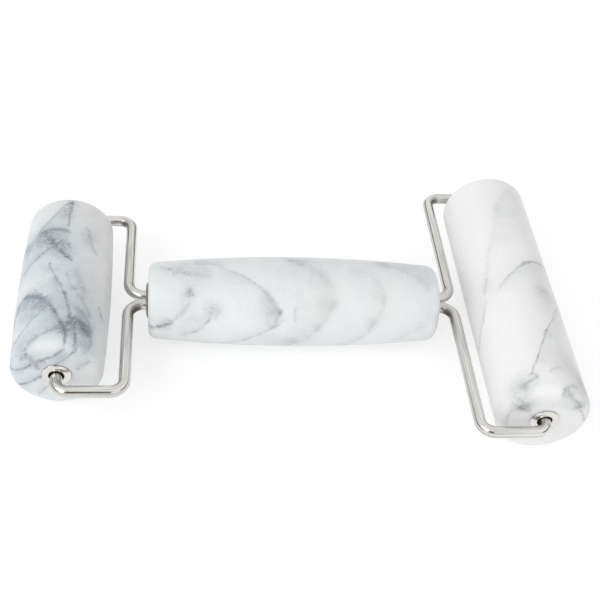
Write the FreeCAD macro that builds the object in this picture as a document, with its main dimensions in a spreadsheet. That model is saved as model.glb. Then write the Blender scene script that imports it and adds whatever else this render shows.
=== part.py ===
# Double-ended marble dough roller: a long and a short stone roller in bent wire forks,
# with a turned stone grip between them. Millimetres. X runs along the grip with the long
# roller at +X, Y runs along the roller axles, Z is up. The origin is on the worktop, under
# the middle of the grip.
import FreeCAD, Part
import Sketcher
import math
import os

# Driving sizes: name, value, what it is.
SIZES = [
    ("roller_diameter", 31.8, "both rollers, at the middle"),
    ("long_roller_length", 108.0, "straight roller, end face to end face"),
    ("short_roller_length", 72.0, "crowned roller, end face to end face"),
    ("short_roller_crown", 0.9, "fall of the radius from middle to end"),
    ("roller_edge_radius", 3.0, "rounding of the roller rims"),
    ("grip_length", 102.0, "barrel grip, end face to end face"),
    ("grip_diameter", 31.7, "barrel grip, at the middle"),
    ("grip_end_diameter", 26.4, "barrel grip, at the ends"),
    ("grip_edge_radius", 3.0, "rounding of the grip rims"),
    ("wire_diameter", 4.0, "round wire of the four arms"),
    ("wire_end_chamfer", 0.4, "broken edge of each wire end"),
    ("leg_gap", 0.3, "between the two legs in one grip end"),
    ("leg_insert", 30.0, "leg inside the grip"),
    ("leg_stand", 1.5, "straight leg between the grip and its bend"),
    ("leg_bend_radius", 5.5, "leg to crossbar, centre line"),
    ("corner_bend_radius", 4.5, "crossbar to side arm, centre line"),
    ("stub_bend_radius", 4.0, "side arm to axle stub, centre line"),
    ("stub_insert", 12.0, "axle stub inside the roller"),
    ("throat_gap", 4.1, "between a crossbar and its roller"),
    ("long_end_play", 2.6, "between a long roller end and the side arm"),
    ("short_end_play", 3.6, "between a short roller end and the side arm"),
    ("long_float_share", 0.22, "share of the free play taken towards the back"),
    ("short_float_share", 0.55, "share of the free play taken towards the back"),
    ("axle_clearance", 0.5, "around an axle stub in its eyelet"),
    ("leg_clearance", 0.2, "around the pair of legs in a ferrule"),
    ("glue_gap", 0.05, "around a barrel in its bore"),
    ("axle_bore_relief", 4.0, "bore beyond the tip of the axle stub"),
    ("glue_bed", 4.0, "adhesive beyond the leg ends"),
    ("glue_recess", 0.35, "adhesive below the crest of the ferrule"),
    ("eyelet_wall", 0.5, "eyelet barrel"),
    ("eyelet_barrel_length", 10.0, "eyelet below its flange"),
    ("eyelet_flange_diameter", 9.6, "eyelet flange"),
    ("eyelet_flange_height", 0.9, "crest of the domed flange"),
    ("eyelet_rim_height", 0.3, "rim of the domed flange"),
    ("eyelet_lip_radius", 0.5, "rolled lip of the eyelet mouth"),
    ("ferrule_wall", 0.45, "ferrule barrel"),
    ("ferrule_barrel_length", 10.0, "ferrule below its flange"),
    ("ferrule_flange_diameter", 12.6, "ferrule flange"),
    ("ferrule_flange_height", 0.9, "crest of the domed flange"),
    ("ferrule_rim_height", 0.3, "rim of the domed flange"),
    ("ferrule_lip_radius", 0.45, "rolled lip of the ferrule mouth"),
]

# Sizes that follow from the driving ones: name, formula.
PLACES = [
    ("grip_end_x", "sizes.grip_length / 2"),
    ("leg_y", "(sizes.wire_diameter + sizes.leg_gap) / 2"),
    ("leg_start_x", "grip_end_x - sizes.leg_insert"),
    ("crossbar_x", "grip_end_x + sizes.leg_stand + sizes.leg_bend_radius"),
    ("axle_x", "crossbar_x + sizes.wire_diameter / 2 + sizes.throat_gap + sizes.roller_diameter / 2"),
    ("axle_z", "sizes.roller_diameter / 2"),
    ("long_arm_y", "sizes.long_roller_length / 2 + sizes.long_end_play + sizes.wire_diameter / 2"),
    ("short_arm_y", "sizes.short_roller_length / 2 + sizes.short_end_play + sizes.wire_diameter / 2"),
    ("long_stub_y", "sizes.long_roller_length / 2 - sizes.stub_insert"),
    ("short_stub_y", "sizes.short_roller_length / 2 - sizes.stub_insert"),
    ("long_float", "sizes.long_float_share * (sizes.long_end_play - sizes.eyelet_flange_height)"),
    ("short_float", "sizes.short_float_share * (sizes.short_end_play - sizes.eyelet_flange_height)"),
    ("long_end_radius", "sizes.roller_diameter / 2"),
    ("short_end_radius", "sizes.roller_diameter / 2 - sizes.short_roller_crown"),
    ("grip_end_radius", "sizes.grip_end_diameter / 2"),
    ("short_fall", "sizes.short_roller_crown"),
    ("grip_fall", "(sizes.grip_diameter - sizes.grip_end_diameter) / 2"),
    ("eyelet_bore_radius", "sizes.wire_diameter / 2 + sizes.axle_clearance"),
    ("eyelet_barrel_radius", "eyelet_bore_radius + sizes.eyelet_wall"),
    ("axle_bore_radius", "eyelet_barrel_radius + sizes.glue_gap"),
    ("axle_bore_depth", "sizes.stub_insert + sizes.axle_bore_relief"),
    ("ferrule_bore_radius", "sizes.wire_diameter + sizes.leg_gap / 2 + sizes.leg_clearance"),
    ("ferrule_barrel_radius", "ferrule_bore_radius + sizes.ferrule_wall"),
    ("grip_bore_radius", "ferrule_barrel_radius + sizes.glue_gap"),
    ("grip_bore_depth", "sizes.leg_insert + sizes.glue_bed"),
]

# How a sketch's constraints number its own origin and its two axes
ORIGIN_INDEX = (-1, 1)
ACROSS_INDEX = -1
AXIS_INDEX = -2
X_AXIS = FreeCAD.Vector(1, 0, 0)
Y_AXIS = FreeCAD.Vector(0, 1, 0)
Z_AXIS = FreeCAD.Vector(0, 0, 1)
SAME_PLACE = Part.Precision.approximation()
VOLUME_SHARE = 0.001

doc = FreeCAD.newDocument("dough_roller")


def fill_sheet(name, rows, formula):
    sheet = doc.addObject("Spreadsheet::Sheet", name)
    for row, entry in enumerate(rows, start=1):
        cell = "B%d" % row
        sheet.set("A%d" % row, entry[0])
        sheet.set(cell, "=" + entry[1] if formula else str(entry[1]))
        sheet.setAlias(cell, entry[0])
        if len(entry) > 2:
            sheet.set("C%d" % row, entry[2])
    doc.recompute()
    return {entry[0]: float(sheet.get(entry[0])) for entry in rows}


size = fill_sheet("sizes", SIZES, False)
place = fill_sheet("places", PLACES, True)


def point(x, y):
    return FreeCAD.Vector(x, y, 0)


def new_body(label):
    body = doc.addObject("PartDesign::Body", label)
    body.Label = label
    return body


def origin_plane(body, role):
    return next(part for part in body.Origin.OriginFeatures if part.Role == role)


def new_sketch(body, name, role):
    sketch = body.newObject("Sketcher::SketchObject", name)
    sketch.AttachmentSupport = [(origin_plane(body, role), "")]
    sketch.MapMode = "FlatFace"
    return sketch


def tie(sketch, *terms):
    return sketch.addConstraint(Sketcher.Constraint(*terms))


def bind(sketch, name, formula, *terms):
    sketch.renameConstraint(tie(sketch, *terms), name)
    sketch.setExpression("Constraints." + name, formula)


def add_line(sketch, start, end):
    return sketch.addGeometry(Part.LineSegment(start, end))


def add_arc(sketch, centre, start, end, radius):
    # runs anticlockwise from one angle to the other
    circle = Part.Circle(centre, Z_AXIS, radius)
    return sketch.addGeometry(Part.ArcOfCircle(circle, start, end))


def expect_solved(sketch):
    doc.recompute()
    if sketch.solve() != 0 or not sketch.FullyConstrained:
        raise ValueError(sketch.Label + " is not fully constrained")


def turn(body, name, sketch):
    feature = body.newObject("PartDesign::Revolution", name)
    feature.Profile = sketch
    feature.ReferenceAxis = (sketch, ["V_Axis"])
    feature.Angle = 360
    doc.recompute()
    return feature


def circles_at(feature, places_along, axis):
    # names of the round edges whose centres lie at the given places on one axis
    names = []
    for number, edge in enumerate(feature.Shape.Edges, start=1):
        if edge.Curve.TypeId != "Part::GeomCircle":
            continue
        along = edge.Curve.Center.dot(axis)
        if any(abs(along - spot) < SAME_PLACE for spot in places_along):
            names.append("Edge%d" % number)
    return names


def dress(body, kind, name, base, edges, attribute, formula):
    feature = body.newObject("PartDesign::" + kind, name)
    feature.Base = (base, edges)
    feature.setExpression(attribute, formula)
    doc.recompute()
    return feature


def turned_stone(label, length, end_radius, edge_radius, bore_radius, bore_depth, fall=None):
    # a turned stone on its own Y axis, with a blind bore in each end; fall is the drop of
    # its radius from middle to end, along an arc, and without it the side is straight
    body = new_body(label)
    half = size[length] / 2
    rim = place[end_radius]
    section = new_sketch(body, label + "_section", "XY_Plane")
    front = add_line(section, point(0, -half), point(rim, -half))
    if fall:
        drop = place[fall]
        arc_radius = (half * half + drop * drop) / (2 * drop)
        spread = math.asin(half / arc_radius)
        centre = point(rim + drop - arc_radius, 0)
        side = add_arc(section, centre, -spread, spread, arc_radius)
    else:
        side = add_line(section, point(rim, -half), point(rim, half))
    back = add_line(section, point(rim, half), point(0, half))
    core = add_line(section, point(0, half), point(0, -half))
    for first, second in ((front, side), (side, back), (back, core), (core, front)):
        tie(section, "Coincident", first, 2, second, 1)
    tie(section, "Horizontal", front)
    tie(section, "Horizontal", back)
    tie(section, "PointOnObject", front, 1, AXIS_INDEX)
    tie(section, "Symmetric", front, 2, back, 1, ACROSS_INDEX)
    tie(section, "PointOnObject", back, 2, AXIS_INDEX)
    bind(section, "stone_length", "sizes." + length, "DistanceY", core, 2, core, 1, 2 * half)
    bind(section, "end_radius", "places." + end_radius, "DistanceX", front, 1, front, 2, rim)
    if fall:
        bulge = "((sizes.%s / 2) ^ 2 + places.%s ^ 2) / (2 * places.%s)" % (length, fall, fall)
        bind(section, "crown_radius", bulge, "Radius", side, arc_radius)
    expect_solved(section)
    turned = turn(body, label + "_turned", section)
    rims = circles_at(turned, (-half, half), Y_AXIS)
    dress(body, "Fillet", label + "_rims", turned, rims, "Radius", "sizes." + edge_radius)

    bore = new_sketch(body, label + "_bore_section", "XY_Plane")
    wide = place[bore_radius]
    deep = place[bore_depth]
    bottom = add_line(bore, point(0, half - deep), point(wide, half - deep))
    wall = add_line(bore, point(wide, half - deep), point(wide, half))
    mouth = add_line(bore, point(wide, half), point(0, half))
    middle = add_line(bore, point(0, half), point(0, half - deep))
    for first, second in ((bottom, wall), (wall, mouth), (mouth, middle), (middle, bottom)):
        tie(bore, "Coincident", first, 2, second, 1)
    tie(bore, "Horizontal", bottom)
    tie(bore, "Horizontal", mouth)
    tie(bore, "Vertical", wall)
    tie(bore, "PointOnObject", bottom, 1, AXIS_INDEX)
    tie(bore, "PointOnObject", mouth, 2, AXIS_INDEX)
    bind(bore, "bore_radius", "places." + bore_radius, "DistanceX", bottom, 1, bottom, 2, wide)
    bind(bore, "bore_depth", "places." + bore_depth, "DistanceY", middle, 2, middle, 1, deep)
    bind(bore, "mouth_place", "sizes.%s / 2" % length, "DistanceY", *ORIGIN_INDEX, mouth, 2, half)
    expect_solved(bore)
    groove = body.newObject("PartDesign::Groove", label + "_bore")
    groove.Profile = bore
    groove.ReferenceAxis = (bore, ["V_Axis"])
    groove.Angle = 360
    doc.recompute()
    both = body.newObject("PartDesign::Mirrored", label + "_bores")
    both.Originals = [groove]
    both.MirrorPlane = (origin_plane(body, "XZ_Plane"), [""])
    body.Tip = both
    doc.recompute()
    return body


def flanged_sleeve(label, kind):
    # a sleeve whose barrel runs to -Y from its seat and whose domed flange stands on +Y
    body = new_body(label)
    inner = place[kind + "_bore_radius"]
    outer = place[kind + "_barrel_radius"]
    flange = size[kind + "_flange_diameter"] / 2
    depth = size[kind + "_barrel_length"]
    crest = size[kind + "_flange_height"]
    rim = size[kind + "_rim_height"]
    lip = size[kind + "_lip_radius"]
    reach = flange - inner - lip
    rise = crest - rim
    dome_radius = (reach * reach + rise * rise) / (2 * rise)
    crest_x = inner + lip
    section = new_sketch(body, label + "_section", "XY_Plane")
    end = add_line(section, point(inner, -depth), point(outer, -depth))
    barrel = add_line(section, point(outer, -depth), point(outer, 0))
    seat = add_line(section, point(outer, 0), point(flange, 0))
    edge = add_line(section, point(flange, 0), point(flange, rim))
    dome_start = math.asin((dome_radius - rise) / dome_radius)
    dome = add_arc(section, point(crest_x, crest - dome_radius), dome_start, math.pi / 2, dome_radius)
    mouth = add_arc(section, point(crest_x, crest - lip), math.pi / 2, math.pi, lip)
    wall = add_line(section, point(inner, crest - lip), point(inner, -depth))
    chain = (end, barrel, seat, edge, dome)
    for first, second in zip(chain, chain[1:]):
        tie(section, "Coincident", first, 2, second, 1)
    tie(section, "Tangent", dome, 2, mouth, 1)
    tie(section, "Tangent", mouth, 2, wall, 1)
    tie(section, "Coincident", wall, 2, end, 1)
    tie(section, "Horizontal", end)
    tie(section, "Vertical", barrel)
    tie(section, "Horizontal", seat)
    tie(section, "Vertical", edge)
    tie(section, "Vertical", wall)
    tie(section, "PointOnObject", seat, 1, ACROSS_INDEX)
    bind(section, "bore_radius", "places.%s_bore_radius" % kind, "DistanceX", *ORIGIN_INDEX, end, 1, inner)
    bind(section, "barrel_radius", "places.%s_barrel_radius" % kind,
         "DistanceX", *ORIGIN_INDEX, end, 2, outer)
    bind(section, "flange_radius", "sizes.%s_flange_diameter / 2" % kind,
         "DistanceX", *ORIGIN_INDEX, seat, 2, flange)
    bind(section, "barrel_depth", "sizes.%s_barrel_length" % kind,
         "DistanceY", barrel, 1, barrel, 2, depth)
    bind(section, "rim_height", "sizes.%s_rim_height" % kind, "DistanceY", edge, 1, edge, 2, rim)
    bind(section, "crest_height", "sizes.%s_flange_height" % kind,
         "DistanceY", *ORIGIN_INDEX, dome, 2, crest)
    bind(section, "lip_radius", "sizes.%s_lip_radius" % kind, "Radius", mouth, lip)
    tie(section, "Vertical", mouth, 3, mouth, 1)
    expect_solved(section)
    turn(body, label + "_turned", section)
    return body


def wire_arm(label, end, along, across):
    # one wire, bent flat: leg in the grip, crossbar, side arm, axle stub; along and across
    # are the signs of its X and Y
    body = new_body(label)
    leg_x = place["leg_start_x"]
    leg_y = place["leg_y"]
    bar_x = place["crossbar_x"]
    arm_y = place[end + "_arm_y"]
    axle_x = place["axle_x"]
    stub_y = place[end + "_stub_y"]
    leg_bend = size["leg_bend_radius"]
    corner_bend = size["corner_bend_radius"]
    stub_bend = size["stub_bend_radius"]

    path = new_sketch(body, label + "_path", "XY_Plane")

    def spot(x, y):
        return point(along * x, across * y)

    def bend(centre, first, second, radius):
        # a quarter turn from one direction to the next, each a count of right angles; gives
        # the arc and which of its ends comes first along the wire
        angles = []
        for quarter in (first, second):
            x = along * math.cos(quarter * math.pi / 2)
            y = across * math.sin(quarter * math.pi / 2)
            angles.append(math.atan2(y, x))
        if (angles[1] - angles[0]) % (2 * math.pi) > math.pi:
            angles.reverse()
            return add_arc(path, centre, angles[0], angles[1], radius), 2, 1
        return add_arc(path, centre, angles[0], angles[1], radius), 1, 2

    leg = add_line(path, spot(leg_x, leg_y), spot(bar_x - leg_bend, leg_y))
    turn_in = bend(spot(bar_x - leg_bend, leg_y + leg_bend), 3, 0, leg_bend)
    bar = add_line(path, spot(bar_x, leg_y + leg_bend), spot(bar_x, arm_y - corner_bend))
    corner = bend(spot(bar_x + corner_bend, arm_y - corner_bend), 2, 1, corner_bend)
    arm = add_line(path, spot(bar_x + corner_bend, arm_y), spot(axle_x - stub_bend, arm_y))
    turn_out = bend(spot(axle_x - stub_bend, arm_y - stub_bend), 1, 0, stub_bend)
    stub = add_line(path, spot(axle_x, arm_y - stub_bend), spot(axle_x, stub_y))
    for before, (arc, first, second), after in ((leg, turn_in, bar), (bar, corner, arm),
                                                (arm, turn_out, stub)):
        tie(path, "Tangent", before, 2, arc, first)
        tie(path, "Tangent", arc, second, after, 1)
    tie(path, "Horizontal", leg)
    tie(path, "Vertical", bar)
    tie(path, "Horizontal", arm)
    tie(path, "Vertical", stub)
    signed_x = "-" if along < 0 else ""
    signed_y = "-" if across < 0 else ""
    bind(path, "leg_start", signed_x + "places.leg_start_x",
         "DistanceX", *ORIGIN_INDEX, leg, 1, along * leg_x)
    bind(path, "leg_place", signed_y + "places.leg_y", "DistanceY", *ORIGIN_INDEX, leg, 1, across * leg_y)
    bind(path, "crossbar_place", signed_x + "places.crossbar_x",
         "DistanceX", *ORIGIN_INDEX, bar, 1, along * bar_x)
    bind(path, "arm_place", signed_y + "places.%s_arm_y" % end,
         "DistanceY", *ORIGIN_INDEX, arm, 1, across * arm_y)
    bind(path, "axle_place", signed_x + "places.axle_x",
         "DistanceX", *ORIGIN_INDEX, stub, 1, along * axle_x)
    bind(path, "stub_tip", signed_y + "places.%s_stub_y" % end,
         "DistanceY", *ORIGIN_INDEX, stub, 2, across * stub_y)
    bind(path, "leg_bend", "sizes.leg_bend_radius", "Radius", turn_in[0], leg_bend)
    bind(path, "corner_bend", "sizes.corner_bend_radius", "Radius", corner[0], corner_bend)
    bind(path, "stub_bend", "sizes.stub_bend_radius", "Radius", turn_out[0], stub_bend)
    expect_solved(path)

    wire = new_sketch(body, label + "_section", "YZ_Plane")
    wire.setExpression("AttachmentOffset.Base.z", signed_x + "places.leg_start_x")
    disc = wire.addGeometry(Part.Circle(point(across * leg_y, 0), Z_AXIS, size["wire_diameter"] / 2))
    bind(wire, "wire_radius", "sizes.wire_diameter / 2", "Radius", disc, size["wire_diameter"] / 2)
    bind(wire, "wire_place", signed_y + "places.leg_y", "DistanceX", *ORIGIN_INDEX, disc, 3, across * leg_y)
    tie(wire, "PointOnObject", disc, 3, ACROSS_INDEX)
    expect_solved(wire)
    pipe = body.newObject("PartDesign::AdditivePipe", label + "_bent")
    pipe.Profile = wire
    pipe.Spine = path
    doc.recompute()
    run = path.Shape.Length * math.pi * (size["wire_diameter"] / 2) ** 2
    if abs(pipe.Shape.Volume - run) > run * VOLUME_SHARE:
        raise ValueError(label + " is not the wire section carried along its path")
    leg_end = circles_at(pipe, (along * leg_x,), X_AXIS)
    tip = circles_at(pipe, (across * stub_y,), Y_AXIS)
    dress(body, "Chamfer", label + "_ends", pipe, leg_end + tip, "Size", "sizes.wire_end_chamfer")
    return body


def rod(name, radius, start, length):
    # a cylinder along X on the grip's axis
    cylinder = doc.addObject("Part::Cylinder", name)
    cylinder.Placement.Rotation = FreeCAD.Rotation(Y_AXIS, 90)
    cylinder.setExpression("Placement.Base.x", start)
    cylinder.setExpression("Placement.Base.z", "places.axle_z")
    cylinder.setExpression("Radius", radius)
    cylinder.setExpression("Height", length)
    return cylinder


def potting(label, along, arms):
    # cured adhesive: fills the bore below the ferrule and the ferrule itself, around the legs
    bottom = "places.grip_end_x - places.grip_bore_depth"
    below = "places.grip_bore_depth - sizes.ferrule_barrel_length"
    top = "places.grip_bore_depth + sizes.ferrule_flange_height - sizes.glue_recess"
    crest = "places.grip_end_x + sizes.ferrule_flange_height - sizes.glue_recess"
    wide_start = bottom if along > 0 else "-(places.grip_end_x - sizes.ferrule_barrel_length)"
    core_start = bottom if along > 0 else "-(%s)" % crest
    plug = doc.addObject("Part::Fuse", label + "_plug")
    plug.Base = rod(label + "_below", "places.grip_bore_radius", wide_start, below)
    plug.Tool = rod(label + "_core", "places.ferrule_bore_radius", core_start, top)
    legs = doc.addObject("Part::Fuse", label + "_legs")
    legs.Base = arms[0]
    legs.Tool = arms[1]
    filled = doc.addObject("Part::Cut", label)
    filled.Label = label
    filled.Base = plug
    filled.Tool = legs
    doc.recompute()
    return filled


def put(piece, turn_z, x="0", y="0", z="0"):
    piece.Placement.Rotation = FreeCAD.Rotation(Z_AXIS, turn_z)
    piece.setExpression("Placement.Base.x", x)
    piece.setExpression("Placement.Base.y", y)
    piece.setExpression("Placement.Base.z", z)


# Stones
long_roller = turned_stone("long_roller", "long_roller_length", "long_end_radius",
                           "roller_edge_radius", "axle_bore_radius", "axle_bore_depth")
put(long_roller, 0, "places.axle_x", "places.long_float", "places.axle_z")

short_roller = turned_stone("short_roller", "short_roller_length", "short_end_radius",
                            "roller_edge_radius", "axle_bore_radius", "axle_bore_depth",
                            "short_fall")
put(short_roller, 0, "-places.axle_x", "places.short_float", "places.axle_z")

grip = turned_stone("grip", "grip_length", "grip_end_radius", "grip_edge_radius",
                    "grip_bore_radius", "grip_bore_depth", "grip_fall")
put(grip, -90, z="places.axle_z")

pieces = [long_roller, short_roller, grip]

# Wire arms, eyelets, ferrules and adhesive of each end
for end, along in (("long", 1), ("short", -1)):
    signed_axle = "places.axle_x" if along > 0 else "-places.axle_x"
    arms = []
    for side, across in (("front", -1), ("back", 1)):
        arm = wire_arm("%s_%s_arm" % (end, side), end, along, across)
        put(arm, 0, z="places.axle_z")
        arms.append(arm)
        eyelet = flanged_sleeve("%s_%s_eyelet" % (end, side), "eyelet")
        half = "sizes.%s_roller_length / 2" % end
        face = "places.%s_float %s %s" % (end, "+" if across > 0 else "-", half)
        put(eyelet, 0 if across > 0 else 180, signed_axle, face, "places.axle_z")
        pieces.append(eyelet)
    pieces.extend(arms)
    ferrule = flanged_sleeve(end + "_end_ferrule", "ferrule")
    grip_face = "places.grip_end_x" if along > 0 else "-places.grip_end_x"
    put(ferrule, -90 * along, grip_face, "0", "places.axle_z")
    pieces.append(ferrule)
    pieces.append(potting(end + "_end_adhesive", along, arms))

doc.recompute()
for thing in doc.Objects:
    if "Invalid" in thing.State or "Error" in thing.State:
        raise ValueError(thing.Label + " did not build")

os.makedirs("parts", exist_ok=True)
for piece in pieces:
    shape = piece.Shape
    if shape.isNull() or not shape.isValid() or len(shape.Solids) != 1:
        raise ValueError(piece.Label + " is not one sound solid")
    shape.exportStep("parts/%s.step" % piece.Label)
    box = shape.optimalBoundingBox(False, False)
    print("%-20s %9.1f mm3  x %7.2f %7.2f  y %7.2f %7.2f  z %6.2f %6.2f" % (
        piece.Label, shape.Volume, box.XMin, box.XMax, box.YMin, box.YMax, box.ZMin, box.ZMax))
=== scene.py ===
import math

import bpy
import numpy as np
from mathutils import Matrix, Vector


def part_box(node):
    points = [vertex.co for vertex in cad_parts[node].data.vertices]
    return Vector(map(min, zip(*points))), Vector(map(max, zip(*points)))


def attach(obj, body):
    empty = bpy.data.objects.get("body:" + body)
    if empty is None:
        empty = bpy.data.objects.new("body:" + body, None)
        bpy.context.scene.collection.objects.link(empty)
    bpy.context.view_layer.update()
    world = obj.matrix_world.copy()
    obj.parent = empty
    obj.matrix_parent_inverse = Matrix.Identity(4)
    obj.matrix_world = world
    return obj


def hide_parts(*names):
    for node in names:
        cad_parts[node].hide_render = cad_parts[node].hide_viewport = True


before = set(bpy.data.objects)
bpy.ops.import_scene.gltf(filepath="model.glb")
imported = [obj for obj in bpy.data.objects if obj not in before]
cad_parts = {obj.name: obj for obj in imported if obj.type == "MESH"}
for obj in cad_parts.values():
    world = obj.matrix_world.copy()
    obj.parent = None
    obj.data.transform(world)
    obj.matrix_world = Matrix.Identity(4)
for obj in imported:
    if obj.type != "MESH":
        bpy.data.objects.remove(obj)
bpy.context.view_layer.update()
mm = 0.001


def addObject(name, data):
    made = bpy.data.objects.new(name, data)
    bpy.context.scene.collection.objects.link(made)
    return made


def plainMesh(name, points, faces):
    mesh = bpy.data.meshes.new(name)
    mesh.from_pydata(points, [], faces)
    return mesh


# a smooth piece from its points and faces; follow holds the values that its pattern takes from the surface
def newPiece(name, points, faces, crease, follow):
    mesh = plainMesh(name, points.tolist(), faces)
    for label, values in follow.items():
        kind, field = ("FLOAT_VECTOR", "vector") if values.ndim > 1 else ("FLOAT", "value")
        layer = mesh.attributes.new(label, kind, "POINT")
        layer.data.foreach_set(field, values.reshape(-1).astype(np.float32))
    mesh.shade_smooth()
    mesh.set_sharp_from_angle(angle=math.radians(crease))
    mesh.update()
    return addObject(name, mesh)


# quads between neighbouring rings; in a loop the last ring joins the first
def ringQuads(rows, columns, loop=False):
    row, column = np.meshgrid(np.arange(rows if loop else rows - 1), np.arange(columns), indexing="ij")
    below, beside = (row + 1) % rows, (column + 1) % columns
    return np.stack([row * columns + column, row * columns + beside,
                     below * columns + beside, below * columns + column], -1).reshape(-1, 4).tolist()


# rings joined by quads, with a fan of triangles that closes each end on its pole
def ringMesh(name, rings, poles, crease, follow=None):
    rows, columns = rings.shape[:2]
    ring = np.arange(columns)
    beside = (ring + 1) % columns
    firstPole, lastRing = np.full(columns, rows * columns), (rows - 1) * columns
    fans = np.vstack([np.stack([firstPole, beside, ring], -1),
                      np.stack([firstPole + 1, lastRing + ring, lastRing + beside], -1)])
    closed = {label: np.concatenate([values.reshape(-1, *values.shape[2:]), values[:1].mean(1), values[-1:].mean(1)])
              for label, values in (follow or {}).items()}   # a pole has the mean of its ring
    return newPiece(name, np.vstack([rings.reshape(-1, 3), *poles]), ringQuads(rows, columns) + fans.tolist(),
                    crease, closed)


# evenly spaced points on an arc about a middle, from one angle to another
def arcPoints(middle, radius, start, end, count):
    angle = np.linspace(start, end, count)
    return np.stack([middle[0] + radius * np.sin(angle), middle[1] + radius * np.cos(angle)], -1)


# a straight run of points, the last one left out so that runs can be chained
def runPoints(start, end, count):
    return np.linspace(start, end, count, endpoint=False)


# for each axle: the way along it, up, and the side that a positive turn goes to
xWay, yWay, zWay = np.eye(3)
axleWays = {"y": (yWay, zWay, xWay), "x": (xWay, zWay, -yWay)}


# a turned surface: each profile point (along, radius) is carried round the axle; dips lower the radius a little
def turnedRings(profile, axle, segments, dips=None):
    along, up, side = axleWays[axle]
    turn = np.linspace(0, 2 * math.pi, segments, endpoint=False)
    if np.dot(np.cross(up, side), along) < 0:
        turn = turn[::-1]
    radius = np.repeat(profile[:, 1:2], segments, 1)
    if dips is not None:
        radius = radius - dips(profile[:, 0:1], turn[None, :])
    across = np.cos(turn)[:, None] * up + np.sin(turn)[:, None] * side
    return profile[:, 0][:, None, None] * along + radius[..., None] * across[None]


longRoller = {
    "node": "long_roller", "body": "long_roller_set", "slot": "long_roller_marble", "axle": "y",
    "fall": 0.0,             # how much thinner the ends are, mm on the radius
    "rim": 3.0,              # rounding of the rims
    "boreRadius": 3.05, "boreDepth": 16.0,
    "rings": 96, "rimRings": 14, "faceRings": 8, "boreRings": 6, "segments": 160,
    "crease": 50.0,          # degrees from which an edge is sharp
    "dipDepth": 0.05, "dipWaves": 9, "dipSeed": 4,   # honing dips, mm, and how many waves make them
    "dipPace": (0.02, 0.16), "dipLobes": 5,          # radians per mm along a wave, and the most waves round the stone
    "dipLip": 0.5,           # the stone this near to its bore has no dips
}
shortRoller = dict(longRoller, node="short_roller", body="short_roller_set", slot="short_roller_marble",
                   fall=0.9, rings=72, dipSeed=9)
grip = dict(longRoller, node="grip", body="handle", slot="grip_marble", axle="x", fall=2.65,
            boreRadius=4.85, boreDepth=34.0, dipSeed=15)


# sizes that the frame gives: middle in metres, half length and middle radius in mm
def measureStone(stone):
    low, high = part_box(stone["node"])
    spread = (high - low) / mm
    stone["middle"] = (low + high) / 2
    stone["half"] = spread["xyz".index(stone["axle"])] / 2
    stone["radius"] = spread.z / 2


# radius of the circle that a crowned side is an arc of
def crownSwing(stone):
    return (stone["half"] ** 2 + stone["fall"] ** 2) / (2 * stone["fall"])


# crowned side: a circular arc from the middle radius to the thinner ends
def sideRadius(stone, along):
    if stone["fall"] == 0:
        return stone["radius"] + 0 * along
    swing = crownSwing(stone)
    return stone["radius"] - swing + np.sqrt(swing ** 2 - np.square(along))


# half of a stone's outline, from the bore bottom out over the end face and round the rim to the middle
def stoneProfile(stone):
    half, rim = stone["half"], stone["rim"]
    rimAlong = half - rim
    if stone["fall"] == 0:
        rimMiddle, rimStart = stone["radius"] - rim, 0.0
    else:
        swing = crownSwing(stone)
        reach = math.sqrt((swing - rim) ** 2 - rimAlong ** 2)
        rimMiddle, rimStart = stone["radius"] - swing + reach, math.atan2(rimAlong, reach)
    mouth = (half, stone["boreRadius"])
    bore = runPoints((half - stone["boreDepth"], stone["boreRadius"]), mouth, stone["boreRings"])
    face = runPoints(mouth, (half, rimMiddle), stone["faceRings"])
    rimArc = arcPoints((rimAlong, rimMiddle), rim, math.pi / 2, rimStart, stone["rimRings"])
    sideAlong = np.linspace(rimArc[-1, 0], 0, stone["rings"] // 2)[1:]
    side = np.stack([sideAlong, sideRadius(stone, sideAlong)], -1)
    return np.vstack([bore, face, rimArc, side])


# slow dips from hand honing: the mean of cosine waves, each a whole number round the stone so that the seam closes
def honingDips(stone):
    dice = np.random.default_rng(stone["dipSeed"])
    count, most = stone["dipWaves"], stone["dipLobes"]
    pace = dice.uniform(*stone["dipPace"], count)
    lobes = dice.integers(-most, most + 1, count)
    phase = dice.uniform(0, 2 * math.pi, count)

    def dips(along, turn):
        waves = np.cos(along[..., None] * pace + turn[..., None] * lobes + phase).mean(-1)
        return stone["dipDepth"] * (1 + waves) / 2
    return dips


# a stone is turned from its outline, with dips in what the hand can reach
def makeStone(stone):
    measureStone(stone)
    end = stoneProfile(stone)
    profile = np.vstack([end * (-1, 1), end[-2::-1]])   # the second half mirrors the first
    dips = honingDips(stone)
    honed = profile[:, 1:2] > stone["boreRadius"] + stone["dipLip"]
    rings = turnedRings(profile, stone["axle"], stone["segments"],
                        lambda along, turn: np.where(honed, dips(along, turn), 0.0))
    along = axleWays[stone["axle"]][0]
    middle = np.array(stone["middle"])
    poles = [middle + profile[index, 0] * along * mm for index in (0, -1)]
    piece = ringMesh(stone["node"] + "_stone", rings * mm + middle, poles, stone["crease"])
    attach(piece, stone["body"])
    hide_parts(stone["node"])
    print("stone:", piece.name, len(piece.data.vertices), "points")
    return piece


stones = {stone["node"]: (stone, makeStone(stone)) for stone in (longRoller, shortRoller, grip)}


wireArm = {
    "legStand": 1.5,         # straight leg between the grip and its bend, mm
    "legBend": 5.5, "cornerBend": 4.5, "stubBend": 4.0,
    "stubInsert": 12.0,      # axle stub inside the roller
    "endChamfer": 0.4,
    "flatten": 0.035,        # share by which a bend thins the wire on its own plane
    "bulge": 0.4,            # how much of that thinning it gains in height
    "runStep": 1.5,          # spacing of rings on straight runs, mm
    "bendRings": 18, "segments": 40,
    "crease": 50.0,          # degrees from which an edge is sharp
}


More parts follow.
